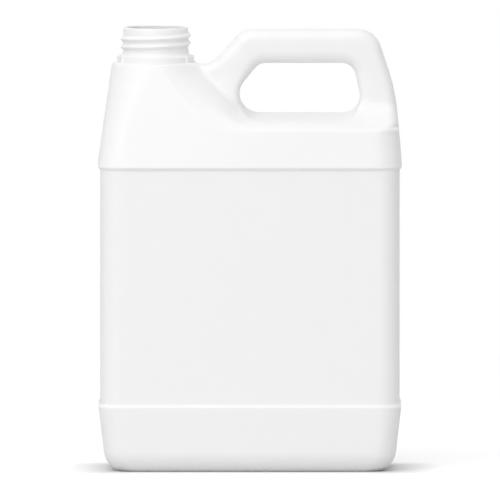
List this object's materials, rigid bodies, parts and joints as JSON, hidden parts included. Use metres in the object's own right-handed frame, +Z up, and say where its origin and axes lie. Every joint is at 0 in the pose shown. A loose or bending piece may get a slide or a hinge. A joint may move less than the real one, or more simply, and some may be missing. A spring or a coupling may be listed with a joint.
{
  "type": "f-style bottle",
  "caption": "Upright rectangular jug with an offset open screw neck and an integral loop handle, for pouring and storing liquids.",
  "frame": {"origin": "on the table under the middle of the bounding box", "axes": "+Z up through the neck, -Y out of the front label panel, +X towards the handle's outer leg"},
  "size_m": [0.162, 0.074, 0.2357],
  "materials": {
    "white_hdpe": "smooth white blow-moulded polyethylene, satin"
  },
  "bodies": {
    "root": {"bottle": "white_hdpe"}
  },
  "joints": []
}
